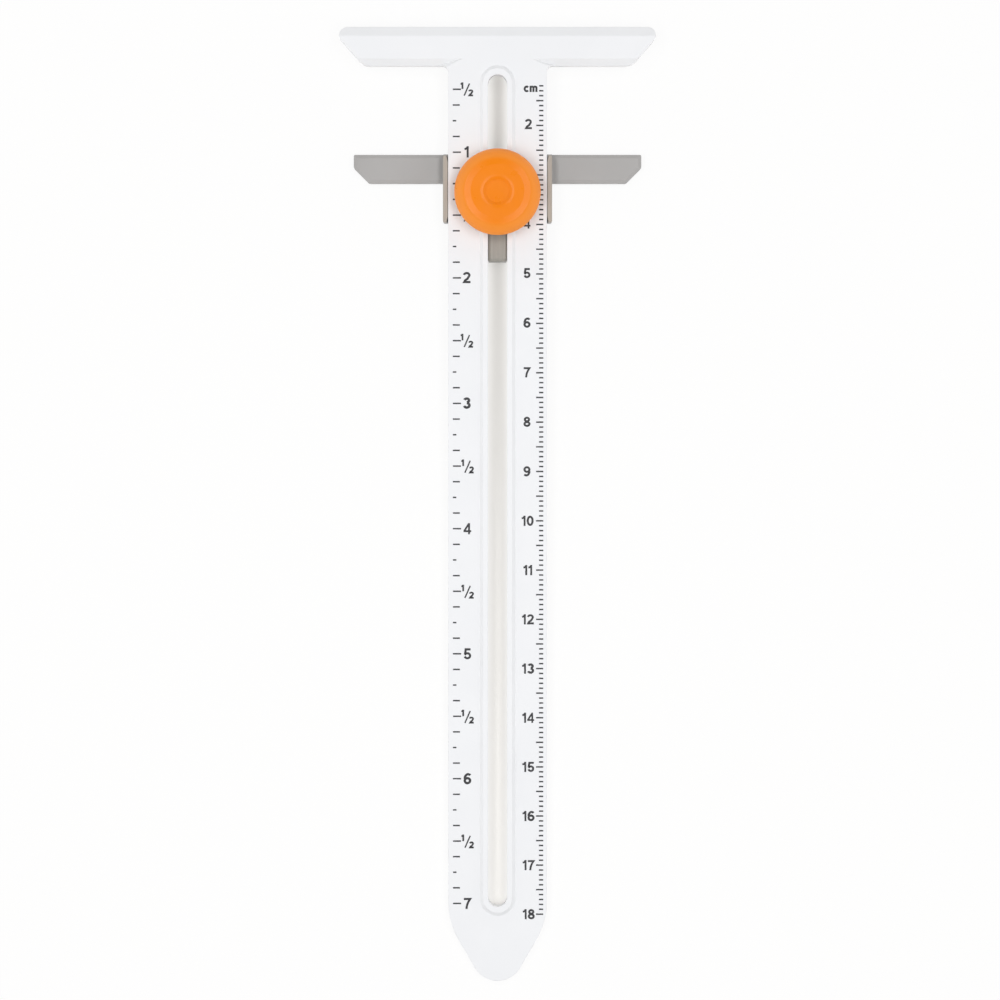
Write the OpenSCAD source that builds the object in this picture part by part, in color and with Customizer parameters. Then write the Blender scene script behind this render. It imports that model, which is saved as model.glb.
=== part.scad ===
// Sliding sewing gauge: a T-shaped ruler, and a slider that a screw knob clamps to it.
// The origin is the middle of the head's straight zero edge, halfway through the ruler.
// X runs across, +Y points from the tip to the head and +Z to the printed side, so a
// reading of 25 mm lies at y = -25.

/* [Ruler] */
// Length from the zero edge to the tip
ruler_len = 193.6; // [170:0.1:240]
// Width of the blade
blade_w = 20; // [18:0.5:26]
// Thickness of the ruler beside its raised rim
ruler_t = 2.5; // [2:0.1:4]
// Angle between the blade's axis and the sides of its point
tip_angle = 30; // [26:1:40]
// Radius of the tip
tip_r = 5.3; // [3:0.1:7]
// Radius where the blade's sides turn into the point
shoulder_r = 15; // [5:0.5:20]

/* [Head] */
// Width of the zero edge, measured to its unrounded corners
head_w = 68.1; // [50:0.1:90]
// Depth of the head along the ruler
head_h = 7.9; // [6:0.1:10]
// Angle between the ruler's axis and the head's slanted ends
head_slant = 41; // [20:0.5:45]
// Radius of the two pointed corners on the zero edge
head_point_r = 1.7; // [0.5:0.1:2]
// Radius of the two blunt corners below them
head_heel_r = 3; // [1:0.1:4]
// Radius of the inside corners between head and blade
neck_r = 1.2; // [0.6:0.1:1.5]
// Width of the bevel along the zero edge
zero_bevel_w = 1.9; // [1:0.1:2.4]
// Width of the bevel along the arms' lower edges
arm_bevel_w = 1.4; // [0.8:0.1:2]
// Depth of both bevels at the edge
head_bevel_d = 0.9; // [0.4:0.1:0.95]
// Distance that the arms' bevel runs in past the blade's side
bevel_run_in = 3; // [1:0.1:3.5]

/* [Slot] */
// Room on each side between the screw and the slot's wall
screw_room = 0.45; // [0.2:0.05:0.9]
// Distance from the head's lower edge to the slot's upper end
slot_head_gap = 1.85; // [1.5:0.05:4]
// Distance from the slot's lower end to the tip
slot_tip_gap = 15.2; // [13:0.1:30]
// Width of the raised rim beside the slot
rim_w = 1.65; // [1.2:0.05:2.5]
// Width of the raised rim beyond the slot's ends
rim_end_w = 1.9; // [1.2:0.05:2.5]
// Width of the rim's sloping flank
rim_flank_w = 0.65; // [0.3:0.05:1]
// Height of the rim over the printed face
rim_h = 0.6; // [0.3:0.1:1.2]

/* [Scales] */
// Reading at which both scales begin
first_reading = 12; // [10:0.5:20]
// Thickness of a scale line, along the ruler
line_w = 0.29; // [0.15:0.01:0.4]
// Thickness of the ink
ink_t = 0.03; // [0.02:0.01:0.08]
// Distance from the blade's left edge to the inch lines
inch_margin = 0.95; // [0.4:0.05:1.5]
// Distance from the blade's right edge to the centimetre lines
cm_margin = 0.73; // [0.4:0.01:1.5]
// Length of the lines at whole and half inches
inch_line = 1.65; // [1:0.05:2]
// Length of the lines at odd eighths
eighth_line = 1.4; // [0.8:0.05:2]
// Length of the lines at quarters
quarter_line = 0.7; // [0.5:0.05:2]
// Length of the lines at whole and half centimetres
cm_line = 1.45; // [1:0.05:2]
// Length of the millimetre lines
mm_line = 0.85; // [0.5:0.05:1.5]

/* [Slider] */
// Reading at which the slider stands
reading = 25.6; // [12:0.1:110]
// Running gap between the blade's side and a cheek
cheek_gap = 0.1; // [0.05:0.05:0.4]
// Thickness of a cheek
cheek_t = 0.95; // [0.6:0.05:1.5]
// Length of a cheek
cheek_len = 13.5; // [11:0.1:20]
// Distance from the reading edge to the cheeks' upper ends
cheek_inset = 0.4; // [0:0.1:1]
// Depth of the cheeks' tops below the printed face
cheek_drop = 0.2; // [0:0.1:1]
// Width of the bevel on the outer edge of a cheek's top
cheek_bevel_w = 0.35; // [0.1:0.05:0.5]
// Depth of that bevel
cheek_bevel_d = 0.15; // [0.05:0.05:0.4]
// Width of the lead-in at both ends of a cheek's inner side
lead_w = 0.25; // [0.1:0.05:0.4]
// Length of that lead-in
lead_len = 1.2; // [0.5:0.1:2]
// Running gap between the ruler's back and the slider's plate
plate_gap = 0.15; // [0.1:0.05:0.4]
// Thickness of the slider's plate
plate_t = 2.6; // [2.3:0.1:4]
// Length of a wing, from its cheek to its end
wing_len = 18.2; // [10:0.1:25]
// Depth of a wing along the ruler
wing_h = 5.8; // [4:0.05:8]
// Thickness of a wing
wing_t = 2; // [1.2:0.1:2.2]
// Size of the cut-off lower corner of a wing
wing_cut = 3.1; // [1.5:0.1:3.5]
// Radius of the corners beside that cut
wing_cut_r = 0.8; // [0.3:0.1:1.5]
// Radius of the small outer corners of wings and cheeks
small_r = 0.3; // [0.15:0.05:0.4]
// Width of the bevel round a wing's top
wing_bevel_w = 0.7; // [0.3:0.1:1]
// Depth of that bevel
wing_bevel_d = 0.25; // [0.1:0.05:0.5]
// Distance from the reading edge to the screw's axis
screw_back = 8.1; // [8:0.1:9.5]
// Distance from the reading edge to the key's lower end
key_back = 21.8; // [18:0.1:26]
// Length of the short key above the screw
short_key_len = 2.2; // [1:0.1:3]
// Room between the screw and the keys
key_screw_room = 0.7; // [0.3:0.1:1.5]
// Running gap on each side of a key in the slot
key_gap = 0.07; // [0.05:0.01:0.2]
// Depth of the keys' tops below the printed face
key_drop = 0.7; // [0.2:0.1:1.5]
// Radius of the corners at the key's lower end
key_corner_r = 0.3; // [0.2:0.05:0.8]
// Width of the bevel on the key's lower end
key_bevel_w = 0.6; // [0.2:0.05:1]
// Depth of that bevel
key_bevel_d = 0.35; // [0.1:0.05:0.8]
// Width of the plate's tail behind the key
tail_w = 9; // [6:0.5:14]
// Radius of the plate's and the tail's corners
tail_r = 2; // [1:0.1:2.8]
// Distance that the tail stops short of the key's end
tail_short = 0.4; // [0.2:0.1:2]

/* [Screw] */
// Nominal diameter of the screw
screw_d = 3; // [2:0.1:4]
// Distance across the flats of the screw's hexagon head
hex_af = 5.5; // [5:0.1:7]
// Height of the screw's head
hex_h = 1.6; // [1:0.1:1.7]
// Depth of the screw's head below the slider's back
hex_sunk = 0.1; // [0:0.05:0.3]
// Gap round the head in its pocket
hex_gap = 0.1; // [0.05:0.05:0.2]
// Gap between the shank and the plate's hole
shank_gap = 0.1; // [0.05:0.05:0.3]
// Gap between the screw's crests and the insert's bore
thread_gap = 0.03; // [0.02:0.01:0.05]
// Chamfer on the screw's end
screw_chamfer = 0.3; // [0.1:0.05:0.5]
// Slope of the chamfer on the corners of the screw's head
head_slope = 30; // [15:1:45]

/* [Knob] */
// Largest diameter of the knob
knob_d = 17.4; // [15:0.1:24]
// Height of the knob over the washer
knob_h = 4.6; // [4.4:0.1:7]
// Distance from the knob's face down to its widest circle
crown_h = 2.2; // [1.5:0.1:2.6]
// Diameter of the knob's flat face
face_d = 10.8; // [8:0.1:11]
// Diameter of the crease between face and shoulder
crease_d = 13.3; // [12:0.1:13.6]
// Height lost between the flat face and the crease
crease_h = 0.25; // [0.1:0.05:0.5]
// Radius of the bulging shoulder
crown_r = 3.5; // [2.5:0.1:8]
// Taper of the knob's side below its widest circle
side_taper = 0.3; // [0.1:0.05:0.6]
// Diameter of the dimple in the face, at its floor
dimple_d = 4.6; // [3:0.1:5]
// Width of the dimple's sloping side
dimple_side = 0.6; // [0.3:0.1:1]
// Depth of the dimple
dimple_h = 0.45; // [0.2:0.05:0.6]
// Width of the dimple's rounded-over lip
lip_w = 0.5; // [0.2:0.1:0.8]
// Depth of that lip
lip_h = 0.08; // [0.04:0.01:0.15]
// Thickness of the knob's skirt at its rim
skirt_w = 1.3; // [1:0.1:1.6]
// Depth of the hollow between hub and skirt
hollow_h = 2.3; // [1.5:0.1:2.5]
// How far the hub reaches past the washer that it presses on
hub_margin = 0.3; // [0.1:0.05:0.6]
// Number of ribs in the hollow
rib_count = 6; // [3:1:8]
// Thickness of a rib
rib_w = 0.9; // [0.6:0.1:1.2]
// Wall of the brass insert
insert_wall = 0.6; // [0.4:0.05:0.9]
// Depth by which the insert's rings bite into the knob
insert_bite = 0.04; // [0.02:0.01:0.08]
// Length of the insert
insert_len = 3.4; // [2.8:0.1:3.6]
// Wall of the knob's spigot round the insert
spigot_wall = 0.9; // [0.6:0.05:1.2]
// Gap between the spigot's end and the rim
spigot_gap = 0.15; // [0.1:0.05:0.3]
// Snap bead that holds the washer: how far it stands out
bead_out = 0.15; // [0.1:0.01:0.2]
// Height of the bead
bead_h = 0.25; // [0.15:0.05:0.3]
// Gap between the bead and the washer's recess
bead_gap = 0.1; // [0.05:0.01:0.15]
// Width of the washer's ring
washer_w = 1.45; // [1.2:0.05:1.8]
// Thickness of the washer
washer_t = 0.8; // [0.7:0.05:1.4]
// Running gap between washer and spigot
washer_gap = 0.05; // [0.03:0.01:0.08]

/* [Hidden] */
$fn = 96;

inch = 25.4;
inch_parts = 8;
half_inch = inch_parts / 2;
quarter_inch = inch_parts / 4;
half_cm = 5;
hex_sides = 6;
// How far a cutter reaches past the surface that it cuts
over = 1;
// How far a corner web reaches past its corner, so that no sliver is left there
web_over = 0.05;

// Levels
front_z = ruler_t / 2;
back_z = -ruler_t / 2;
rim_z = front_z + rim_h;
plate_z = back_z - plate_gap;
base_z = plate_z - plate_t;
wing_z = base_z + wing_t;
cheek_z = front_z - cheek_drop;
key_z = front_z - key_drop;
knob_z = rim_z + washer_t;
face_z = knob_z + knob_h;
spigot_z = rim_z + spigot_gap;
insert_z = spigot_z + insert_len;
head_z = base_z + hex_sunk;
seat_z = head_z + hex_h;

// Blade and slot
half_blade = blade_w / 2;
point_y = -(ruler_len - tip_r + tip_r / sin(tip_angle));
shoulder_y = point_y + half_blade / tan(tip_angle);
slot_r = screw_d / 2 + screw_room;
slot_top = -(head_h + slot_head_gap);
slot_end = -(ruler_len - slot_tip_gap);
rim_r = slot_r + rim_w;
rim_top = slot_top + rim_end_w;
rim_end = slot_end - rim_end_w;

// Slider, placed by its reading
edge_y = -reading;
screw_y = edge_y - screw_back;
key_end = edge_y - key_back;
cheek_in = half_blade + cheek_gap;
cheek_out = cheek_in + cheek_t;
cheek_top = edge_y - cheek_inset;
cheek_end = cheek_top - cheek_len;
wing_x = cheek_out + wing_len;
key_half = slot_r - key_gap;

// Clamp
shank_r = screw_d / 2 - thread_gap;
insert_r = screw_d / 2 + insert_wall;
spigot_r = insert_r + spigot_wall;
bead_r = spigot_r + bead_out;
washer_r = spigot_r + washer_gap + washer_w;
hub_r = washer_r + hub_margin;
knob_r = knob_d / 2;
skirt_r = knob_r - side_taper;
wide_z = face_z - crown_h;

function unit(v) = v / norm(v);

// Centre of the circle of radius r that passes p, then q, turning left
function arc_centre(p, q, r) = let (d = q - p)
    (p + q) / 2 + unit([-d.y, d.x]) * sqrt(r * r - d * d / 4);

// The area between the corner v, on the way from a to b, and an arc of radius r that
// touches both sides: taken from an outward corner, or added to an inward one
module corner_web(a, v, b, r) {
    u = unit(a - v);
    w = unit(b - v);
    half = acos(u * w) / 2;
    centre = v + unit(u + w) * r / sin(half);
    past = v + unit(v - centre) * web_over;
    difference() {
        polygon([past, v + u * r / tan(half), centre, v + w * r / tan(half)]);
        translate(centre) circle(r);
    }
}

// Cutter for a bevel of width w and depth d on a top face at z = 0, along the edge from
// a to b, with the waste on the left
module edge_bevel(a, b, w, d) {
    run = b - a;
    translate([a.x, a.y, 0])
        rotate(atan2(run.y, run.x))
            translate([-over, -w, 0])
                rotate([90, 0, 90])
                    linear_extrude(norm(run) + 2 * over)
                        polygon([[0, 0], [w + over, -d * (w + over) / w], [w + over, over], [0, over]]);
}

module both_sides() {
    children();
    mirror([1, 0, 0]) children();
}

// A bar with round ends, from y = top down to y = end
module round_bar(r, top, end, z, h) {
    translate([-r, end + r, z]) cube([2 * r, top - end - 2 * r, h]);
    for (y = [top - r, end + r])
        translate([0, y, z]) cylinder(r = r, h = h);
}

// Outline of the ruler: head, blade and point, with every corner rounded
module ruler_outline() {
    point = [head_w / 2, 0];
    heel = [head_w / 2 - head_h * tan(head_slant), -head_h];
    neck = [half_blade, -head_h];
    shoulder = [half_blade, shoulder_y];
    tip = [0, point_y];
    left = [for (p = [shoulder, neck, heel, point]) [-p.x, p.y]];
    difference() {
        union() {
            polygon(concat([point, heel, neck, shoulder, tip], left));
            both_sides() corner_web(heel, neck, shoulder, neck_r);
        }
        both_sides() {
            corner_web([0, 0], point, heel, head_point_r);
            corner_web(point, heel, neck, head_heel_r);
            corner_web(neck, shoulder, tip, shoulder_r);
        }
        corner_web(shoulder, tip, left[0], tip_r);
    }
}

// Raised rim with sloping flanks: the knob's washer bears on its flat top
module rim() {
    land_r = rim_r - rim_flank_w;
    first = rim_top - rim_r;
    last = rim_end + rim_r;
    translate([0, first, front_z])
        rotate([90, 0, 0])
            linear_extrude(first - last)
                polygon([[-rim_r, 0], [rim_r, 0], [land_r, rim_h], [-land_r, rim_h]]);
    for (y = [first, last])
        translate([0, y, front_z]) cylinder(r1 = rim_r, r2 = land_r, h = rim_h);
}

// Bevel on an arm's lower edge, which ends in a slanted step beside the blade
module arm_bevel() {
    start = half_blade - bevel_run_in;
    inner = -head_h + arm_bevel_w;
    step_angle = atan2(-arm_bevel_w, bevel_run_in);
    intersection() {
        edge_bevel([head_w / 2, -head_h], [start - over, -head_h], arm_bevel_w, head_bevel_d);
        translate([start, inner, 0])
            rotate([0, 0, step_angle])
                rotate([45, 0, 0])
                    translate([-over, 0, -head_w])
                        cube([head_w, head_w, 2 * head_w]);
    }
}

module ruler() {
    color("whitesmoke")
        difference() {
            union() {
                translate([0, 0, back_z]) linear_extrude(ruler_t) ruler_outline();
                rim();
            }
            round_bar(slot_r, slot_top, slot_end, back_z - over, ruler_t + rim_h + 2 * over);
            translate([0, 0, front_z]) {
                edge_bevel([-head_w / 2, 0], [head_w / 2, 0], zero_bevel_w, head_bevel_d);
                both_sides() arm_bevel();
            }
        }
}

// Inch scale, a line at every eighth
module inch_marks() {
    step = inch / inch_parts;
    color([0.13, 0.13, 0.15])
        for (n = [ceil(first_reading / step):floor(-rim_end / step)]) {
            mark = n % half_inch == 0 ? inch_line : n % quarter_inch == 0 ? quarter_line : eighth_line;
            translate([inch_margin - half_blade, -n * step - line_w / 2, front_z])
                cube([mark, line_w, ink_t]);
        }
}

// Centimetre scale, a line at every millimetre
module centimetre_marks() {
    color([0.13, 0.13, 0.15])
        for (n = [ceil(first_reading):floor(-rim_end)]) {
            mark = n % half_cm == 0 ? cm_line : mm_line;
            translate([half_blade - cm_margin - mark, -n - line_w / 2, front_z])
                cube([mark, line_w, ink_t]);
        }
}

// Right wing: a bevelled arm with its lower corner cut off
module wing() {
    low_y = edge_y - wing_h;
    edge = [[cheek_in, edge_y], [wing_x, edge_y], [wing_x, low_y + wing_cut],
        [wing_x - wing_cut, low_y], [cheek_in, low_y]];
    corner_r = [small_r, wing_cut_r, wing_cut_r];
    difference() {
        translate([0, 0, base_z])
            linear_extrude(wing_t)
                difference() {
                    polygon(edge);
                    for (i = [1:3]) corner_web(edge[i - 1], edge[i], edge[i + 1], corner_r[i - 1]);
                }
        translate([0, 0, wing_z])
            for (i = [0:3]) edge_bevel(edge[i], edge[i + 1], wing_bevel_w, wing_bevel_d);
    }
}

// Right cheek, which runs along the blade's side and has a lead-in at both ends
module cheek() {
    edge = [[cheek_in, cheek_top - lead_len], [cheek_in + lead_w, cheek_top], [cheek_out, cheek_top],
        [cheek_out, cheek_end], [cheek_in + lead_w, cheek_end], [cheek_in, cheek_end + lead_len]];
    difference() {
        translate([0, 0, base_z])
            linear_extrude(cheek_z - base_z)
                difference() {
                    polygon(edge);
                    for (i = [2, 3]) corner_web(edge[i - 1], edge[i], edge[i + 1], small_r);
                }
        translate([0, 0, cheek_z]) edge_bevel(edge[2], edge[3], cheek_bevel_w, cheek_bevel_d);
    }
}

// Plate behind the blade, with a tail behind the long key
module plate() {
    corner = [cheek_out, cheek_end];
    tail_end = key_end + tail_short;
    tail = [[tail_w / 2, cheek_end + over], [tail_w / 2, tail_end], [0, tail_end]];
    translate([0, 0, base_z])
        linear_extrude(plate_t)
            difference() {
                union() {
                    translate([-cheek_out, cheek_end]) square([2 * cheek_out, edge_y - cheek_end]);
                    translate([-tail_w / 2, tail_end]) square([tail_w, cheek_end + over - tail_end]);
                }
                both_sides() {
                    corner_web([cheek_out, edge_y], corner, [0, cheek_end], small_r);
                    corner_web(tail[0], tail[1], tail[2], tail_r);
                }
            }
}

// Two keys that guide the slider in the slot, one on each side of the screw
module keys() {
    room = screw_d / 2 + key_screw_room;
    long_top = screw_y - room;
    corner = [key_half, key_end];
    difference() {
        translate([0, 0, base_z])
            linear_extrude(key_z - base_z)
                difference() {
                    translate([-key_half, key_end]) square([2 * key_half, long_top - key_end]);
                    both_sides() corner_web([key_half, long_top], corner, [0, key_end], key_corner_r);
                }
        translate([0, 0, key_z])
            edge_bevel(corner, [-key_half, key_end], key_bevel_w, key_bevel_d);
    }
    translate([-key_half, screw_y + room, base_z])
        cube([2 * key_half, short_key_len, key_z - base_z]);
}

// Six-sided prism on the screw's axis, given its distance across flats
module hexagon(af, z, h) {
    translate([0, screw_y, z]) cylinder(r = af / 2 / cos(180 / hex_sides), h = h, $fn = hex_sides);
}

module slider() {
    color([0.69, 0.68, 0.67])
        difference() {
            union() {
                plate();
                keys();
                both_sides() {
                    wing();
                    cheek();
                }
            }
            hexagon(hex_af + 2 * hex_gap, base_z - over, over + seat_z - base_z);
            translate([0, screw_y, base_z]) cylinder(r = screw_d / 2 + shank_gap, h = plate_t + over);
        }
}

// Hexagon-head screw, held from turning by its pocket in the slider's back
module lock_screw() {
    end_z = insert_z - screw_chamfer;
    color("silver") {
        intersection() {
            hexagon(hex_af, head_z, hex_h);
            translate([0, screw_y, head_z])
                cylinder(r1 = hex_af / 2, r2 = hex_af / 2 + hex_h / tan(head_slope), h = hex_h);
        }
        translate([0, screw_y, seat_z]) {
            cylinder(r = shank_r, h = end_z - screw_chamfer - seat_z);
            translate([0, 0, end_z - screw_chamfer - seat_z])
                cylinder(r1 = shank_r, r2 = shank_r - screw_chamfer, h = screw_chamfer);
        }
    }
}

// Washer between the knob and the slot's rim, snapped over the bead on the knob's spigot
module pressure_washer() {
    bore_r = spigot_r + washer_gap;
    recess_r = bead_r + bead_gap;
    ledge_z = spigot_z + bead_h + bead_gap;
    color("gainsboro")
        translate([0, screw_y, 0])
            rotate_extrude()
                polygon([[recess_r, rim_z], [washer_r, rim_z], [washer_r, knob_z], [bore_r, knob_z],
                    [bore_r, ledge_z], [recess_r, ledge_z]]);
}

// Half section of the knob: hub, skirt and crowned face, and the spigot below with its bead
module knob_section() {
    wide = [knob_r, wide_z];
    crease = [crease_d / 2, face_z - crease_h];
    rise = crease - wide;
    outward = unit([rise.y, -rise.x]) * crown_r;
    difference() {
        union() {
            polygon([[0, knob_z], [skirt_r, knob_z], wide, crease, [face_d / 2, face_z], [0, face_z]]);
            intersection() {
                translate(arc_centre(wide, crease, crown_r)) circle(crown_r);
                polygon([wide, crease, crease + outward, wide + outward]);
            }
            translate([0, spigot_z]) square([spigot_r, knob_z + over - spigot_z]);
            translate([0, spigot_z])
                polygon([[0, 0], [spigot_r, 0], [bead_r, bead_h / 2], [bead_r, bead_h], [0, bead_h]]);
        }
        translate([0, spigot_z - over]) square([insert_r, over + insert_len + thread_gap]);
        dimple_section();
    }
}

// Half section of the shallow dimple in the knob's face
module dimple_section() {
    floor_r = dimple_d / 2;
    side_r = floor_r + dimple_side;
    translate([0, face_z])
        polygon([[0, -dimple_h], [floor_r, -dimple_h], [side_r, -lip_h], [side_r + lip_w, 0],
            [side_r + lip_w, over], [0, over]]);
}

// Ring-shaped hollow between the hub and the skirt, divided by ribs
module knob_hollow() {
    outer_r = skirt_r - skirt_w;
    difference() {
        cylinder(r = outer_r, h = over + hollow_h);
        translate([0, 0, -over]) cylinder(r = hub_r, h = 3 * over + hollow_h);
        for (i = [1:rib_count])
            rotate(i * 360 / rib_count)
                translate([0, -rib_w / 2, -over]) cube([knob_r, rib_w, 3 * over + hollow_h]);
    }
}

module knob() {
    color([0.96, 0.54, 0.12])
        translate([0, screw_y, 0])
            difference() {
                rotate_extrude() knob_section();
                translate([0, 0, knob_z - over]) knob_hollow();
            }
}

// Brass thread pressed into the knob, with two rings that bite into the plastic
module knob_insert() {
    bore_r = shank_r + thread_gap;
    bite_r = insert_r + insert_bite;
    ring_h = insert_len / 4;
    color("goldenrod")
        translate([0, screw_y, spigot_z])
            rotate_extrude()
                polygon([[bore_r, 0], [insert_r, 0], [insert_r, ring_h], [bite_r, ring_h],
                    [bite_r, 2 * ring_h], [insert_r, 2 * ring_h], [insert_r, 3 * ring_h],
                    [bite_r, 3 * ring_h], [bite_r, 4 * ring_h], [bore_r, 4 * ring_h]]);
}

ruler();
inch_marks();
centimetre_marks();
slider();
lock_screw();
pressure_washer();
knob();
knob_insert();
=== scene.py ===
# %% [markdown]
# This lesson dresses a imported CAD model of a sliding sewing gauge: a white T-shaped ruler with
# printed scales, a grey slider that runs along its slot, and an orange knob that locks it.
# The solids are exact and stay as they are. What is added here is what a CAD model leaves out:
# the camera, the light, the finish of each plastic and metal, and the printed numbers.
# Everything is in metres, in the frame of the CAD model: X runs across the ruler, +Y points
# from the tip to the head, and +Z points out of the printed face.

# %% Load the frame
import math

import bmesh
import bpy
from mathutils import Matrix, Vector


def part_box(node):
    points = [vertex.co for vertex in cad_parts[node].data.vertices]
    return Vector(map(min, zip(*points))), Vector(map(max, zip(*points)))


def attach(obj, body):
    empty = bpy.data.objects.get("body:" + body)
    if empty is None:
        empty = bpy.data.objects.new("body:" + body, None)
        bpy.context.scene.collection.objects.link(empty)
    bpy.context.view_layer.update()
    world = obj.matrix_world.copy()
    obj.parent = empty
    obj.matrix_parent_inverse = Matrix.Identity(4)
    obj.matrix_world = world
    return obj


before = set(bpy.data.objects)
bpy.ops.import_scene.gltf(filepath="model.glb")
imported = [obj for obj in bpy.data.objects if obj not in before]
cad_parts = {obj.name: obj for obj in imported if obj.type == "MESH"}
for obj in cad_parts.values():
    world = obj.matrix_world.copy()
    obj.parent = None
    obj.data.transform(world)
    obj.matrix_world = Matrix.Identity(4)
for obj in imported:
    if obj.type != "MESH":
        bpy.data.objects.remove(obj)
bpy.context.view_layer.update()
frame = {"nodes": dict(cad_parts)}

scene = bpy.context.scene
MM = 0.001
print("nodes:", ", ".join(frame["nodes"]))

# %% [markdown]
# A few levels and edges are read from the solids instead of being typed, so the scene follows
# when a size of the model changes. The ink's box tells where the printed face is and where the
# scale lines end, and the slider's box tells where its back plate ends.

# %% Measure the solids
inch_low, inch_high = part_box("inch_marks")
cm_low, cm_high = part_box("centimetre_marks")
ruler_low, ruler_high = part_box("ruler")
slider_low, slider_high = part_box("slider")
face_z = inch_low.z
ink_thickness = inch_high.z - inch_low.z
print("printed face at z = %.2f mm" % (face_z / MM))
print("slider back at z = %.2f mm" % (slider_low.z / MM))

# %% [markdown]
# A gauge whose slider has a plate behind the blade doesn't lie flat. It rests on the lower edge
# of that plate and on the tip of the blade, with the head in the air. Turning the whole model
# would move it out of the CAD frame, so the table is tilted instead, by the small angle between
# those two points. The photograph doesn't show the back, so the plate itself is a guess.

# %% Find how the gauge rests
plate_foot = Vector((0, slider_low.y, slider_low.z))
tip_foot = Vector((0, ruler_low.y, ruler_low.z))
rest_angle = math.atan2(tip_foot.z - plate_foot.z, plate_foot.y - tip_foot.y)
table_up = Vector((0, math.sin(rest_angle), math.cos(rest_angle)))
print("the table leans by %.2f degrees" % math.degrees(rest_angle))

# %% [markdown]
# The photograph was taken from straight above the table. The printed scales are a ready-made
# test chart: the spacing of their lines tells how many pixels a millimetre takes. It hardly
# tells how far away the camera stood, because any distance from 300 to 800 mm fits nearly as
# well, so the 600 mm used here is a guess. The camera looks at a point half way along the ruler.
# It is made with its own axes, because a ready-made view would not repeat that framing.

# %% Camera
CAMERA_DISTANCE = 0.6
IMAGE_CENTRE = Vector((0.5 * MM, -95.78 * MM, face_z))
FOCAL_PIXELS = 2959.0
IMAGE_PIXELS = 1000.0
SENSOR_MM = 36.0

camera_data = bpy.data.cameras.new("overhead_camera")
camera_data.sensor_width = SENSOR_MM
camera_data.lens = FOCAL_PIXELS / IMAGE_PIXELS * SENSOR_MM
camera_data.clip_start = 0.01
camera_data.clip_end = 20
camera = bpy.data.objects.new("overhead_camera", camera_data)
camera.location = IMAGE_CENTRE + CAMERA_DISTANCE * table_up
camera.rotation_euler = (-rest_angle, 0, 0)
scene.collection.objects.link(camera)
scene.camera = camera
print("lens %.1f mm on a %.0f mm sensor" % (camera_data.lens, SENSOR_MM))

# %% [markdown]
# Small helpers for node materials. Each one makes a node, sets its constants and returns its
# output, so that the finishes below read as a list of what they are made of. Positions come
# from the Object coordinate, which is in metres here, so a noise scale of 2000 gives spots of
# about half a millimetre on every piece alike.

# %% Helpers for node materials
def new_material(name):
    material = bpy.data.materials.new(name)
    material.use_nodes = True
    tree = material.node_tree
    tree.nodes.clear()
    shader = tree.nodes.new("ShaderNodeBsdfPrincipled")
    output = tree.nodes.new("ShaderNodeOutputMaterial")
    tree.links.new(shader.outputs["BSDF"], output.inputs["Surface"])
    return material, tree, shader


def noise(tree, scale, detail=2.0, stretch=(1, 1, 1)):
    coordinate = tree.nodes.new("ShaderNodeTexCoord")
    mapping = tree.nodes.new("ShaderNodeMapping")
    mapping.inputs["Scale"].default_value = stretch
    texture = tree.nodes.new("ShaderNodeTexNoise")
    texture.inputs["Scale"].default_value = scale
    texture.inputs["Detail"].default_value = detail
    tree.links.new(coordinate.outputs["Object"], mapping.inputs["Vector"])
    tree.links.new(mapping.outputs["Vector"], texture.inputs["Vector"])
    return texture.outputs["Fac"]


def remap(tree, value, low, high, from_low=0.3, from_high=0.7, smooth=False):
    node = tree.nodes.new("ShaderNodeMapRange")
    if smooth:
        node.interpolation_type = "SMOOTHSTEP"
    node.inputs["From Min"].default_value = from_low
    node.inputs["From Max"].default_value = from_high
    node.inputs["To Min"].default_value = low
    node.inputs["To Max"].default_value = high
    tree.links.new(value, node.inputs["Value"])
    return node.outputs["Result"]


def combine(tree, operation, first, second):
    node = tree.nodes.new("ShaderNodeMath")
    node.operation = operation
    for socket, value in zip(node.inputs, (first, second)):
        if isinstance(value, (int, float)):
            socket.default_value = value
        else:
            tree.links.new(value, socket)
    return node.outputs["Value"]


def blend_colours(tree, factor, first, second, blend="MIX"):
    node = tree.nodes.new("ShaderNodeMix")
    node.data_type = "RGBA"
    node.blend_type = blend
    tree.links.new(factor, node.inputs["Factor"])
    colour_inputs = [i for i in node.inputs if i.type == "RGBA"]
    for socket, colour in zip(colour_inputs, (first, second)):
        if isinstance(colour, tuple):
            socket.default_value = (*colour, 1)
        else:
            tree.links.new(colour, socket)
    return [o for o in node.outputs if o.type == "RGBA"][0]


def bump(tree, height, depth, under=None):
    node = tree.nodes.new("ShaderNodeBump")
    node.inputs["Strength"].default_value = 1.0
    node.inputs["Distance"].default_value = depth
    tree.links.new(height, node.inputs["Height"])
    if under is not None:
        tree.links.new(under, node.inputs["Normal"])
    return node.outputs["Normal"]


def dress(node_name, material):
    for slot in frame["nodes"][node_name].material_slots:
        slot.material = material
    print(node_name, "gets", material.name)


# %% [markdown]
# Edges of a moulding are never knife-sharp. The solids have their large bevels and radii, but
# not the tenth of a millimetre that every tool edge leaves. A Bevel node bends the normal near
# an edge by that much, which catches a thin line of light there without touching the mesh. The
# angle between the bent and the plain normal also tells where the edges are, and the finishes
# below use it to polish the edges, as handling does.

# %% Soft edges
def soft_edges(tree, radius):
    node = tree.nodes.new("ShaderNodeBevel")
    node.samples = 8
    node.inputs["Radius"].default_value = radius
    return node.outputs["Normal"]


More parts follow.
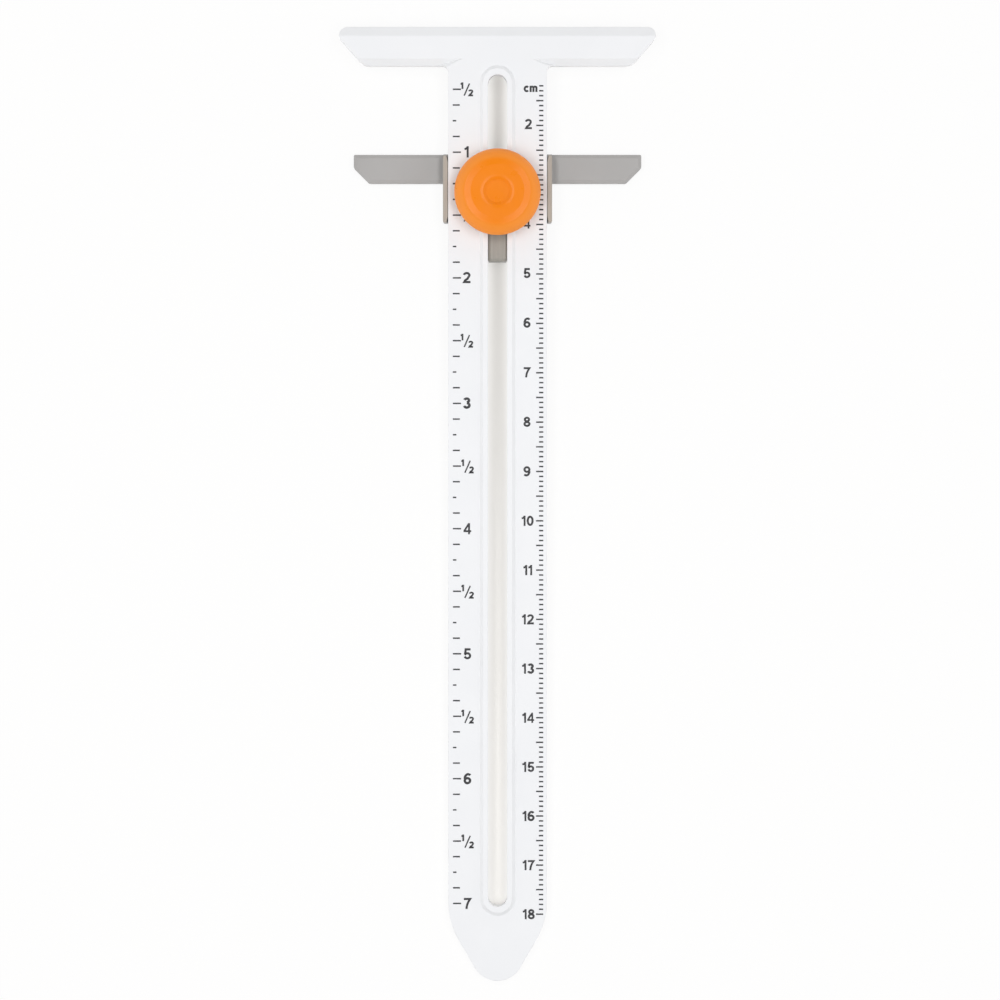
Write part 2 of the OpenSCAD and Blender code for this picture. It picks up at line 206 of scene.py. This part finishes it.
def edge_mask(tree, soft_normal, low, high):
    plain = tree.nodes.new("ShaderNodeNewGeometry")
    dot = tree.nodes.new("ShaderNodeVectorMath")
    dot.operation = "DOT_PRODUCT"
    tree.links.new(soft_normal, dot.inputs[0])
    tree.links.new(plain.outputs["Normal"], dot.inputs[1])
    return remap(tree, dot.outputs["Value"], high, low, 0.80, 1.0)


# %% [markdown]
# The ruler is a white moulding with a satin face, slightly cool in tone. Three layers make it:
# the fine grain of the tool's spark-eroded face, the faint waviness that a thin flat moulding
# keeps from cooling, and hair-fine scuffs along the blade where the slider has run. Colour
# alone would look like paper. The grain and the roughness make it look moulded.
#
# Two more tones depend on how a face leans, which the upward share of its normal tells. Both
# are painted light. The bevels, which lean by 20 to 60 degrees, get a trace of painted shade,
# and the upright walls are painted a little lighter, as painted light on the thin edges.

# %% White plastic
def moulded_plastic(name, colour, deep_colour, roughness, grain_depth, wave_depth, edge_radius,
        scuff=0.07):
    material, tree, shader = new_material(name)
    tint = remap(tree, noise(tree, 90, 3), 0, 1, 0.35, 0.65)
    shade = blend_colours(tree, tint, colour, deep_colour)
    tree.links.new(shade, shader.inputs["Base Color"])
    cloudy = remap(tree, noise(tree, 350, 4), roughness - 0.04, roughness + 0.04)
    scuffs = remap(tree, noise(tree, 2600, 2, (1, 0.03, 1)), 0, scuff, 0.60, 0.72)
    worn = combine(tree, "ADD", cloudy, scuffs)
    soft = None
    if edge_radius > 0:
        soft = soft_edges(tree, edge_radius)
        worn = combine(tree, "ADD", worn, edge_mask(tree, soft, 0.0, -0.08))
    tree.links.new(worn, shader.inputs["Roughness"])
    waves = bump(tree, noise(tree, 110, 1), wave_depth, soft)
    grain = bump(tree, noise(tree, 4200, 3), grain_depth, waves)
    tree.links.new(grain, shader.inputs["Normal"])
    shader.inputs["IOR"].default_value = 1.49
    return material, shader, shade


# Painted shade for the bevels and painted light for the upright walls.
BEVEL_PAINTED_SHADE = (0.990, 0.990, 0.985)
BEVEL_LEVELS = (0.88, 0.97)
WALL_PAINTED_LIGHT = (0.950, 0.953, 0.960)
WALL_LEVELS = (0.10, 0.45)


def tones_by_slope(tree, shader, shade):
    coordinate = tree.nodes.new("ShaderNodeTexCoord")
    split = tree.nodes.new("ShaderNodeSeparateXYZ")
    tree.links.new(coordinate.outputs["Normal"], split.inputs["Vector"])
    level = combine(tree, "ABSOLUTE", split.outputs["Z"], 0)
    leans = remap(tree, level, 1, 0, *BEVEL_LEVELS)
    upright = remap(tree, level, 1, 0, *WALL_LEVELS)
    # The bevels get painted shade, then the upright walls get painted light.
    bevel_shaded = blend_colours(tree, leans, shade, BEVEL_PAINTED_SHADE, "MULTIPLY")
    edges = blend_colours(tree, upright, bevel_shaded, WALL_PAINTED_LIGHT)
    tree.links.new(edges, shader.inputs["Base Color"])


white_plastic, white_shader, white_shade = moulded_plastic("satin_white_plastic",
    (0.860, 0.867, 0.885), (0.845, 0.853, 0.872), 0.42, 3e-6, 1.2e-5, 1.2e-4)
tones_by_slope(white_plastic.node_tree, white_shader, white_shade)
dress("ruler", white_plastic)

# %% [markdown]
# The slider is moulded from a warm grey plastic with the same satin grain. Grey shows handling
# sooner than white, so its tone varies a little more. The cheeks and the key stand in front of
# the ruler's back, next to the orange knob, and get a painted warm glow for the light the knob
# throws on them. The key also gets painted shade, streaked lengthwise, for lying down in the
# slot, and its painted glow is tinted back towards grey. Masks made from the Object coordinate
# find both: what stands in front, and what of that lies near the middle of the slot.

# %% Grey plastic
FRONT_LOW, FRONT_HIGH = ruler_low.z - 0.15 * MM, ruler_low.z + 0.05 * MM
KEY_HALF = 2.0 * MM
# Painted light: a warm glow from the knob on what stands in front, and shade on the key in the
# slot.
KEY_PAINTED_SHADE = 0.83
FRONT_PAINTED_GLOW = (1.05, 0.965, 0.85)
KEY_PAINTED_TINT = (0.97, 1.025, 1.06)

grey_plastic, grey_shader, grey_shade = moulded_plastic("warm_grey_plastic",
    (0.412, 0.401, 0.394), (0.392, 0.381, 0.374), 0.40, 3e-6, 0.8e-5, 1.5e-4)


def handle_the_front(tree, shader, shade):
    coordinate = tree.nodes.new("ShaderNodeTexCoord")
    split = tree.nodes.new("ShaderNodeSeparateXYZ")
    tree.links.new(coordinate.outputs["Object"], split.inputs["Vector"])
    across = combine(tree, "ABSOLUTE", split.outputs["X"], 0)
    in_slot = remap(tree, across, 1, 0, KEY_HALF, KEY_HALF + 0.2 * MM)
    in_front = remap(tree, split.outputs["Z"], 0, 1, FRONT_LOW, FRONT_HIGH)
    # Painted glow from the knob on the cheeks and key, then painted shade on the key.
    warmer = blend_colours(tree, in_front, shade, FRONT_PAINTED_GLOW, "MULTIPLY")
    on_key = combine(tree, "MULTIPLY", in_slot, in_front)
    key_tinted = blend_colours(tree, on_key, warmer, KEY_PAINTED_TINT, "MULTIPLY")
    streaks = remap(tree, noise(tree, 2600, 3, (1, 0.04, 1)), 0.10, -0.06)
    key_shade_level = combine(tree, "ADD", KEY_PAINTED_SHADE, streaks)
    fade = combine(tree, "MULTIPLY", on_key, combine(tree, "SUBTRACT", 1, key_shade_level))
    darker = tree.nodes.new("ShaderNodeVectorMath")
    darker.operation = "SCALE"
    tree.links.new(key_tinted, darker.inputs[0])
    tree.links.new(combine(tree, "SUBTRACT", 1, fade), darker.inputs["Scale"])
    tree.links.new(darker.outputs["Vector"], shader.inputs["Base Color"])


handle_the_front(grey_plastic.node_tree, grey_shader, grey_shade)
dress("slider", grey_plastic)

# %% [markdown]
# The knob is glossier, as from a polished tool. Its colour is a full orange. Broad reflections
# of the pale surroundings on its round shoulder give the bands that make it look round, so its
# roughness matters more than its colour. Its shine is set a little below the usual level, or
# the flat face would pick up the lamps and look washed out. The outer shoulder gets a paler
# orange as a painted sheen, which adds to those reflections. The knob's edges are modelled with
# their own radii, so it needs no soft edges in the shader.

# %% Orange plastic
# A painted sheen: the paler orange of the knob's outer shoulder.
SHOULDER_PAINTED_SHEEN = (0.905, 0.280, 0.030)
SHEEN_INNER, SHEEN_OUTER = 6.2 * MM, 7.2 * MM


def grip_mask(tree):
    low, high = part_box("knob")
    coordinate = tree.nodes.new("ShaderNodeTexCoord")
    flat = tree.nodes.new("ShaderNodeVectorMath")
    flat.operation = "MULTIPLY"
    flat.inputs[1].default_value = (1, 1, 0)
    tree.links.new(coordinate.outputs["Object"], flat.inputs[0])
    reach = tree.nodes.new("ShaderNodeVectorMath")
    reach.operation = "DISTANCE"
    reach.inputs[1].default_value = ((low.x + high.x) / 2, (low.y + high.y) / 2, 0)
    tree.links.new(flat.outputs["Vector"], reach.inputs[0])
    return remap(tree, reach.outputs["Value"], 0, 1, SHEEN_INNER, SHEEN_OUTER, smooth=True)


orange_plastic, orange_shader, orange_shade = moulded_plastic("semi_gloss_orange_plastic",
    (0.910, 0.238, 0.001), (0.890, 0.230, 0.001), 0.31, 1.2e-6, 0.8e-5, 0, 0)
orange_shader.inputs["Specular IOR Level"].default_value = 0.28
orange_tree = orange_plastic.node_tree
# The painted sheen is laid on the shoulder outside the given radius.
paler = blend_colours(orange_tree, grip_mask(orange_tree), orange_shade, SHOULDER_PAINTED_SHEEN)
orange_tree.links.new(paler, orange_shader.inputs["Base Color"])
dress("knob", orange_plastic)

# %% [markdown]
# The ink of the scales is flat black. A pad-printed film is never quite even, so its colour
# and its gloss vary in small patches.

# %% Printing ink
def printing_ink():
    material, tree, shader = new_material("black_printing_ink")
    patches = remap(tree, noise(tree, 3000, 3), 0, 1)
    shade = blend_colours(tree, patches, (0.016, 0.016, 0.019), (0.034, 0.034, 0.038))
    tree.links.new(shade, shader.inputs["Base Color"])
    tree.links.new(remap(tree, noise(tree, 1500, 2), 0.42, 0.58), shader.inputs["Roughness"])
    tree.links.new(bump(tree, noise(tree, 6000, 2), 1e-6), shader.inputs["Normal"])
    return material


ink = printing_ink()
dress("inch_marks", ink)
dress("centimetre_marks", ink)

# %% [markdown]
# Three pieces of the clamp hardly show: the zinc-plated screw, the brass insert in the knob and
# the plain nylon washer under it. They get honest metals and plastic all the same. The screw's
# head shows from behind, and the washer's edge when the knob is looked at level from the side.
# The insert is hidden until the clamp is taken apart.

# %% Steel, brass and nylon
def turned_metal(name, colour, roughness):
    material, tree, shader = new_material(name)
    tarnish = remap(tree, noise(tree, 700, 3), 0, 1)
    darker = tuple(c * 0.86 for c in colour)
    tree.links.new(blend_colours(tree, tarnish, colour, darker), shader.inputs["Base Color"])
    shader.inputs["Metallic"].default_value = 1.0
    rough = remap(tree, noise(tree, 1500, 3), roughness - 0.06, roughness + 0.08)
    tree.links.new(rough, shader.inputs["Roughness"])
    rings = bump(tree, noise(tree, 5000, 1, (0.1, 0.1, 1)), 2e-6)
    tree.links.new(rings, shader.inputs["Normal"])
    return material


dress("lock_screw", turned_metal("zinc_plated_steel", (0.62, 0.62, 0.63), 0.34))
dress("knob_insert", turned_metal("turned_brass", (0.80, 0.60, 0.30), 0.28))
nylon, *_ = moulded_plastic("natural_nylon", (0.80, 0.79, 0.74), (0.77, 0.76, 0.70), 0.46,
    2e-6, 0.5e-5, 0.8e-4)
dress("pressure_washer", nylon)

# %% [markdown]
# The numbers are printed in a plain, even-weight lettering. The fonts that come with a computer
# differ from machine to machine, so the digits are drawn here as pen strokes: each one is a few
# lines and arcs in a box one unit high. The pen's width is a share of that height, and every
# outermost stroke runs half a pen inside the box, so that all the digits come out equally tall.

# %% Strokes of each digit
PEN = 0.205
EDGE = PEN / 2
TOP = 1 - EDGE
DIGIT_WIDTH = 0.68
MIDDLE = DIGIT_WIDTH / 2


def arc(centre_x, centre_y, radius_x, radius_y, start, end, steps=20):
    points = []
    for i in range(steps + 1):
        angle = math.radians(start + (end - start) * i / steps)
        x = centre_x + radius_x * math.cos(angle)
        points.append((x, centre_y + radius_y * math.sin(angle)))
    return points


def bowl(low, high, inset=0.0):
    return MIDDLE, (low + high) / 2, MIDDLE - EDGE - inset, (high - low) / 2 - EDGE


def turned_over(stroke):
    return [(DIGIT_WIDTH - x, 1 - y) for x, y in stroke]


SIX = [arc(*bowl(0, 0.65), 0, 360, 32), arc(0.40, 0.5, 0.40 - EDGE, 0.5 - EDGE, 180, 50)]
STROKES = {
    "0": [arc(*bowl(0, 1), 0, 360, 36)],
    "1": [[(0.28, 0.0), (0.28, 1.0)], [(0.0, 0.755), (0.11, 0.765), (0.20, 0.82), (0.25, 0.93)]],
    "2": [arc(*bowl(0.42, 1), 172, -28) + [(0.40, 0.38), (0.21, 0.26), (0.12, EDGE),
        (DIGIT_WIDTH, EDGE)]],
    "3": [arc(*bowl(0.465, 1, 0.03), 162, -88), arc(*bowl(0, 0.60), 88, -164)],
    "4": [[(0.49, 0.0), (0.49, 1.0)], [(0.465, 0.93), (0.075, 0.31)], [(0.0, 0.28), (0.68, 0.28)]],
    "5": [[(0.62, TOP), (0.19, TOP), (0.135, 0.51)] + arc(*bowl(0, 0.65), 138, -164)],
    "6": SIX,
    "7": [[(0.02, TOP), (0.585, TOP), (0.42, 0.64), (0.31, 0.36), (0.25, 0.0)]],
    "8": [arc(*bowl(0.45, 1, 0.035), 0, 360, 32), arc(*bowl(0, 0.58), 0, 360, 32)],
    "9": [turned_over(stroke) for stroke in SIX],
    "/": [[(0.0, 0.0), (0.44, 1.0)]],
    "c": [arc(0.33, 0.37, 0.33 - EDGE, 0.37 - EDGE, 42, 318)],
    "m": [[(EDGE, 0.0), (EDGE, 0.735)],
        arc(0.27, 0.49, 0.27 - EDGE, 0.245 - EDGE, 180, 0) + [(0.54 - EDGE, 0.0)],
        arc(0.62, 0.49, 0.27 - EDGE, 0.245 - EDGE, 180, 0) + [(0.89 - EDGE, 0.0)]],
}
WIDTHS = {"1": 0.375, "/": 0.44, "c": 0.59, "m": 0.89}
PENS = {"1": 0.18, "2": 0.195, "3": 0.22, "4": 0.165, "5": 0.195, "6": 0.21, "7": 0.185, "8": 0.2,
    "/": 0.11, "c": 0.235, "m": 0.235}
BOLD_PEN = 0.26
SPACE = 0.11
print("drawn characters:", "".join(sorted(STROKES)))


# %% [markdown]
# A stroke becomes a thin solid ribbon. Its sides are the centre line moved out to the left and
# right. At a bend they are moved along the bisector, as in a mitre joint, so that the width
# stays the same. The ribbons of one digit are then joined by a Boolean, because two that simply
# overlap would leave hidden faces inside the digit.

# %% From strokes to solid characters
def sides_of(points, closed, pen):
    count = len(points)
    sides = []
    for i, point in enumerate(points):
        directions = []
        if i > 0 or closed:
            directions.append((Vector(point) - Vector(points[i - 1])).normalized())
        if i < count - 1 or closed:
            directions.append((Vector(points[(i + 1) % count]) - Vector(point)).normalized())
        along = sum(directions, Vector((0, 0))).normalized()
        across = Vector((-along.y, along.x))
        reach = pen / 2 / max(0.45, abs(along.dot(directions[0])))
        sides.append((Vector(point) + across * reach, Vector(point) - across * reach))
    return sides


def ribbon(points, pen, thickness):
    closed = (Vector(points[0]) - Vector(points[-1])).length < 1e-6
    if closed:
        points = points[:-1]
    shape = bmesh.new()
    rings = []
    for left, right in sides_of(points, closed, pen):
        corners = ((left, 0), (right, 0), (right, thickness), (left, thickness))
        rings.append([shape.verts.new((p.x, p.y, z)) for p, z in corners])
    for i in range(len(rings) if closed else len(rings) - 1):
        here, there = rings[i], rings[(i + 1) % len(rings)]
        for k in range(4):
            shape.faces.new((here[k], here[(k + 1) % 4], there[(k + 1) % 4], there[k]))
    if not closed:
        shape.faces.new(rings[0][::-1])
        shape.faces.new(rings[-1])
    bmesh.ops.recalc_face_normals(shape, faces=shape.faces)
    mesh = bpy.data.meshes.new("ribbon")
    shape.to_mesh(mesh)
    shape.free()
    return mesh


def character_mesh(character, pen, thickness):
    parts = []
    for stroke in STROKES[character]:
        mesh = ribbon(stroke, pen, thickness)
        part = bpy.data.objects.new("stroke", mesh)
        scene.collection.objects.link(part)
        parts.append(part)
    for other in parts[1:]:
        union = parts[0].modifiers.new("join", "BOOLEAN")
        union.operation = "UNION"
        union.solver = "EXACT"
        union.object = other
    graph = bpy.context.evaluated_depsgraph_get()
    mesh = bpy.data.meshes.new_from_object(parts[0].evaluated_get(graph))
    for part in parts:
        bpy.data.objects.remove(part)
    return mesh


# %% [markdown]
# A line of print is a list of placed characters. Each is copied into one mesh for the whole
# scale, at its height, with its foot at the given place. The ribbons are one unit tall while
# they are joined, where the Boolean is exact, and shrink to a few hundredths of a millimetre
# of ink only when they are set.

# %% Setting a line of print
RIBBON_THICKNESS = 0.1
characters = {c: character_mesh(c, PENS.get(c, PEN), RIBBON_THICKNESS) for c in STROKES}
bold_characters = {c: character_mesh(c, BOLD_PEN, RIBBON_THICKNESS) for c in "12"}


def width_of(text):
    return sum(WIDTHS.get(c, DIGIT_WIDTH) + SPACE for c in text) - SPACE


def set_text(shape, text, x, y, height, cut=characters):
    for character in text:
        start = len(shape.verts)
        shape.from_mesh(cut[character])
        shape.verts.ensure_lookup_table()
        for vertex in shape.verts[start:]:
            level = face_z + vertex.co.z / RIBBON_THICKNESS * ink_thickness
            vertex.co = Vector((x + vertex.co.x * height, y + vertex.co.y * height, level))
        x += (WIDTHS.get(character, DIGIT_WIDTH) + SPACE) * height


def set_centred(shape, text, centre_x, centre_y, height):
    set_text(shape, text, centre_x - width_of(text) / 2 * height, centre_y - height / 2, height)


def finish_print(shape, name):
    mesh = bpy.data.meshes.new(name)
    shape.to_mesh(mesh)
    shape.free()
    piece = bpy.data.objects.new(name, mesh)
    scene.collection.objects.link(piece)
    mesh.materials.append(ink)
    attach(piece, "ruler")
    print(name, "has", len(mesh.polygons), "faces")


# %% [markdown]
# The inch scale has its numbers at the whole inches and a small fraction at the half inches:
# a one above and left, a slanted bar, and a two below and right. The fraction's small digits
# are cut bolder than the others, as a printer does so that they don't look faint. The print of
# the first three inches sits a hair to the left of the rest and above it, as artwork does that
# was put together from two strips.

# %% Inch numbers
INCH = 25.4 * MM
INCH_HEIGHT = 2.28 * MM
INCH_COLUMN = inch_high.x + 1.28 * MM
FRACTION_HEIGHT = 1.33 * MM
FRACTION_LEFT = inch_high.x + 0.06 * MM
TWO_RIGHT, TWO_DOWN = 1.60 * MM, 1.45 * MM
SLASH_HEIGHT = 2.45 * MM
SLASH_RIGHT, SLASH_DOWN = 0.72 * MM, 1.36 * MM
STRIP_END = -80 * MM
STRIP_SHIFT = Vector((-0.13, 0.07)) * MM


def shift_at(y):
    return STRIP_SHIFT if y > STRIP_END else Vector((0, 0))


inch_print = bmesh.new()
for whole in range(1, 8):
    shift = shift_at(-whole * INCH)
    set_centred(inch_print, str(whole), INCH_COLUMN + shift.x, shift.y - whole * INCH, INCH_HEIGHT)
for half in range(1, 14, 2):
    shift = shift_at(-half * INCH / 2)
    x, y = FRACTION_LEFT + shift.x, shift.y - half * INCH / 2
    set_text(inch_print, "1", x, y, FRACTION_HEIGHT, bold_characters)
    set_text(inch_print, "/", x + SLASH_RIGHT, y - SLASH_DOWN, SLASH_HEIGHT)
    set_text(inch_print, "2", x + TWO_RIGHT, y - TWO_DOWN, FRACTION_HEIGHT, bold_characters)
finish_print(inch_print, "inch_numbers")

# %% [markdown]
# The centimetre scale is numbered from 2 to 18. In place of the 1 it has the letters cm. The
# column leans a little, the first numbers stand a little high and the 2 sits to the right, as
# in artwork that was set by hand.

# %% Centimetre numbers
CM = 10 * MM
CM_HEIGHT = 2.07 * MM
CM_COLUMN = cm_low.x - 1.86 * MM
FIRST_NUMBER_SHIFT = 0.28 * MM
TWO_DIGIT_SHIFT = 0.12 * MM
COLUMN_LEAN = 0.03 * MM
NUMBER_LIFT = 0.035 * MM
UNIT_HEIGHT = 1.72 * MM
UNIT_SHIFT = 0.72 * MM
UNIT_FOOT = -13.26 * MM

cm_print = bmesh.new()
for number in range(2, 19):
    column = CM_COLUMN
    if number >= 10:
        column += TWO_DIGIT_SHIFT + (number - 9) * COLUMN_LEAN
    if number == 2:
        column += FIRST_NUMBER_SHIFT
    lift = max(0, 10 - number) * NUMBER_LIFT
    set_centred(cm_print, str(number), column, lift - number * CM, CM_HEIGHT)
unit_left = CM_COLUMN - width_of("cm") / 2 * UNIT_HEIGHT + UNIT_SHIFT
set_text(cm_print, "cm", unit_left, UNIT_FOOT, UNIT_HEIGHT)
finish_print(cm_print, "centimetre_numbers")
for mesh in [*characters.values(), *bold_characters.values()]:
    bpy.data.meshes.remove(mesh)

# %% [markdown]
# The table is a large plain sheet that leans by the rest angle and passes through the two
# points that the gauge rests on. A white background could be had by pouring on more light, but
# that would bleach the gauge too. Instead the sheet adds a share of plain white where a camera,
# a reflection or a transmission looks at it, and the rest of its brightness is real light,
# which keeps the gauge's soft shadow. Under the blade, where the sheet is seen through the
# slot, a painted shadow of the ruler is laid on top: the share is smaller, least along the
# middle of the slot and near the head, the sheet's colour is painted a touch darker, and its
# white a little warm. From below the sheet is see-through, so that the back of the gauge can be
# looked at too.

# %% Table
TABLE_HALF = 3.0
TABLE_GAP = 0.02 * MM
TABLE_TONES = ((0.92, 0.905, 0.885), (0.905, 0.89, 0.87))
WHITE_SHARE = 0.90
SHADED_SHARE = 0.29
SHADE_HALF = 3.2 * MM
SHADE_FADE = (12 * MM, 2 * MM)
TIP_SHADE = 0.85
TIP_END, HEAD_END = -130 * MM, -60 * MM
# Painted shadow over the slot: a darker sheet and a warm white.
SLOT_PAINTED_SHADE = (0.93, 0.93, 0.93)
SLOT_PAINTED_WARMTH = (1, 0.97, 0.91)
blade_middle = (ruler_low.y + ruler_high.y) / 2

table_mesh = bpy.data.meshes.new("table")
sheet = bmesh.new()
bmesh.ops.create_grid(sheet, x_segments=8, y_segments=8, size=TABLE_HALF)
sheet.to_mesh(table_mesh)
sheet.free()
table = bpy.data.objects.new("table", table_mesh)
table.location = plate_foot - TABLE_GAP * table_up
table.rotation_euler = (-rest_angle, 0, 0)
scene.collection.objects.link(table)
print("the table reaches %.0f m to each side" % TABLE_HALF)


def under_the_blade(tree):
    coordinate = tree.nodes.new("ShaderNodeTexCoord")
    split = tree.nodes.new("ShaderNodeSeparateXYZ")
    tree.links.new(coordinate.outputs["Object"], split.inputs["Vector"])
    across = combine(tree, "ABSOLUTE", split.outputs["X"], 0)
    along = combine(tree, "SUBTRACT", split.outputs["Y"], blade_middle - plate_foot.y)
    along = combine(tree, "ABSOLUTE", along, 0)
    start, stop = (ruler_high.y - blade_middle - inset for inset in SHADE_FADE)
    near = remap(tree, across, 1, 0, 0, SHADE_HALF, smooth=True)
    inside = remap(tree, along, 1, 0, start, stop, smooth=True)
    low_y, high_y = TIP_END - plate_foot.y, HEAD_END - plate_foot.y
    gap = remap(tree, split.outputs["Y"], TIP_SHADE, 1, low_y, high_y, smooth=True)
    return combine(tree, "MULTIPLY", combine(tree, "MULTIPLY", near, inside), gap)


def seen_directly(tree):
    path = tree.nodes.new("ShaderNodeLightPath")
    first = combine(tree, "MAXIMUM", path.outputs["Is Camera Ray"], path.outputs["Is Glossy Ray"])
    return combine(tree, "MAXIMUM", first, path.outputs["Is Transmission Ray"])


def table_material():
    material, tree, shader = new_material("pale_table")
    output = [n for n in tree.nodes if n.type == "OUTPUT_MATERIAL"][0]
    mottle = remap(tree, noise(tree, 25, 2), 0, 1)
    shade = blend_colours(tree, mottle, *TABLE_TONES)
    # The mask of the painted shadow of the ruler over the slot.
    shaded = under_the_blade(tree)
    dimmed = blend_colours(tree, shaded, shade, SLOT_PAINTED_SHADE, "MULTIPLY")
    tree.links.new(dimmed, shader.inputs["Base Color"])
    shader.inputs["Roughness"].default_value = 0.9
    shader.inputs["Specular IOR Level"].default_value = 0.1
    share = remap(tree, shaded, WHITE_SHARE, SHADED_SHARE, 0, 1)
    share = combine(tree, "MULTIPLY", share, seen_directly(tree))
    white = tree.nodes.new("ShaderNodeEmission")
    # The white under the slot is painted warm, as part of the painted shadow.
    tone = blend_colours(tree, shaded, (1, 1, 1), SLOT_PAINTED_WARMTH)
    tree.links.new(tone, white.inputs["Color"])
    lit = tree.nodes.new("ShaderNodeMixShader")
    tree.links.new(share, lit.inputs["Fac"])
    tree.links.new(shader.outputs["BSDF"], lit.inputs[1])
    tree.links.new(white.outputs["Emission"], lit.inputs[2])
    clear = tree.nodes.new("ShaderNodeBsdfTransparent")
    side = tree.nodes.new("ShaderNodeNewGeometry")
    one_sided = tree.nodes.new("ShaderNodeMixShader")
    tree.links.new(side.outputs["Backfacing"], one_sided.inputs["Fac"])
    tree.links.new(lit.outputs["Shader"], one_sided.inputs[1])
    tree.links.new(clear.outputs["BSDF"], one_sided.inputs[2])
    tree.links.new(one_sided.outputs["Shader"], output.inputs["Surface"])
    return material


table_mesh.materials.append(table_material())

# %% [markdown]
# The light is that of a plain product table: a soft lamp on each side of the camera, and pale
# walls all round under a dim ceiling. The lamps shine steeply, so that they reach through the
# slot to the table where the blade lies low, and mostly miss it under the head, where it stands
# high. Steep lamps also keep the shade round the knob light. The pale walls put bright bands on
# the knob's shoulder, while its face reflects the dim ceiling and keeps its full colour. The
# walls beyond the head and the tip are dimmer than those on the sides, so that the shoulder
# isn't equally pale all round. The levels are set so that a flat face shows its own colour,
# neither darker nor bleached.

# %% Lamps and surroundings
LAMP_WATTS = 1.46
LAMP_WIDTH = 0.16
LAMP_LENGTH = 0.60
LAMP_TARGET = Vector((-0.02, -0.09, 0))
LAMP_DISTANCE = 0.62
LAMP_ANGLE = math.radians(19)
WALLS = 1.0
CEILING = 0.22
CEILING_FADE = (0.25, 0.95)
END_WALL_SHARE = 0.55
END_WALL_FADE = (0.15, 0.75)


def soft_lamp(name, side):
    data = bpy.data.lights.new(name, "AREA")
    data.shape = "RECTANGLE"
    data.size, data.size_y = LAMP_WIDTH, LAMP_LENGTH
    data.energy = LAMP_WATTS
    lamp = bpy.data.objects.new(name, data)
    direction = Vector((side * math.sin(LAMP_ANGLE), 0, math.cos(LAMP_ANGLE)))
    lamp.location = LAMP_TARGET + LAMP_DISTANCE * direction
    lamp.rotation_euler = (0, side * LAMP_ANGLE, 0)
    lamp.visible_camera = False
    scene.collection.objects.link(lamp)
    print(name, "at", [round(v, 2) for v in lamp.location], "with", LAMP_WATTS, "W")


soft_lamp("left_lamp", -1)
soft_lamp("right_lamp", 1)

world = bpy.data.worlds.new("pale_walls_dim_ceiling")
scene.world = world
world.use_nodes = True
sky = world.node_tree
coordinate = sky.nodes.new("ShaderNodeTexCoord")
split = sky.nodes.new("ShaderNodeSeparateXYZ")
sky.links.new(coordinate.outputs["Generated"], split.inputs["Vector"])
height = remap(sky, split.outputs["Z"], WALLS, CEILING, *CEILING_FADE, smooth=True)
sideways = combine(sky, "ABSOLUTE", split.outputs["X"], 0)
side = remap(sky, sideways, END_WALL_SHARE, 1, *END_WALL_FADE, smooth=True)
strength = combine(sky, "MULTIPLY", height, side)
sky.nodes["Background"].inputs["Color"].default_value = (1, 1, 1, 1)
sky.links.new(strength, sky.nodes["Background"].inputs["Strength"])
scene.view_settings.view_transform = "Standard"
